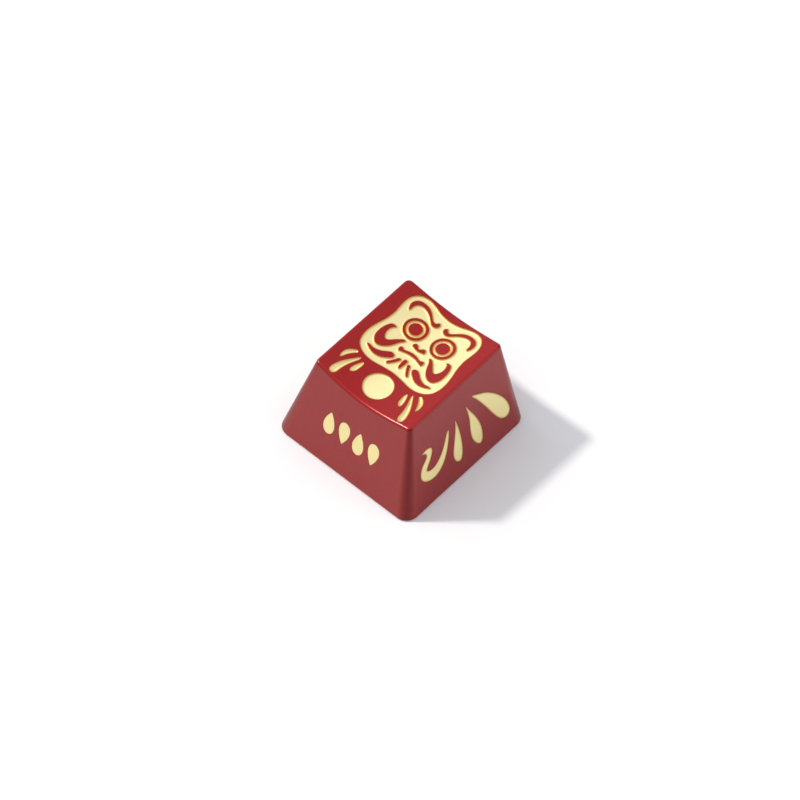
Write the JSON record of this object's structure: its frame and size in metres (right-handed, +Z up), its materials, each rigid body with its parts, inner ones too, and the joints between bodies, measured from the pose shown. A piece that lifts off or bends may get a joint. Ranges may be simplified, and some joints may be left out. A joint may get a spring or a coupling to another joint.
{
  "type": "keyboard keycap",
  "caption": "Tall metal keycap with a dished top, gold daruma face inlay and robe folds on its sides, over a moulded cross-socket stem.",
  "frame": {"origin": "centre of the open lower rim, on the surface that the cap stands on", "axes": "+Z up through the top, -Y towards the typist's side of the key, +X to its right"},
  "size_m": [0.018, 0.018, 0.0107],
  "materials": {
    "red_coat": "cast zinc alloy under a satin red metallic coat",
    "bright_gold": "polished pale gold plate on the recessed top artwork",
    "satin_gold": "satin pale gold fill, flush with the walls",
    "acetal": "moulded natural acetal"
  },
  "bodies": {
    "root": {"keycap_shell": "red_coat", "stem_insert": "acetal", "face_inlay": "bright_gold", "belly_inlay": "bright_gold", "right_eye_inlay": "bright_gold", "left_eye_inlay": "bright_gold", "right_sleeve_inner": "bright_gold", "right_sleeve_long": "bright_gold", "right_sleeve_outer": "bright_gold", "left_sleeve_inner": "bright_gold", "left_sleeve_long": "bright_gold", "left_sleeve_outer": "bright_gold", "right_robe_hook": "satin_gold", "right_robe_small_drop": "satin_gold", "right_robe_drop": "satin_gold", "right_robe_wide_drop": "satin_gold", "left_robe_hook": "satin_gold", "left_robe_small_drop": "satin_gold", "left_robe_drop": "satin_gold", "left_robe_wide_drop": "satin_gold", "front_dab_1": "satin_gold", "front_dab_2": "satin_gold", "front_dab_3": "satin_gold", "front_dab_4": "satin_gold"}
  },
  "joints": []
}
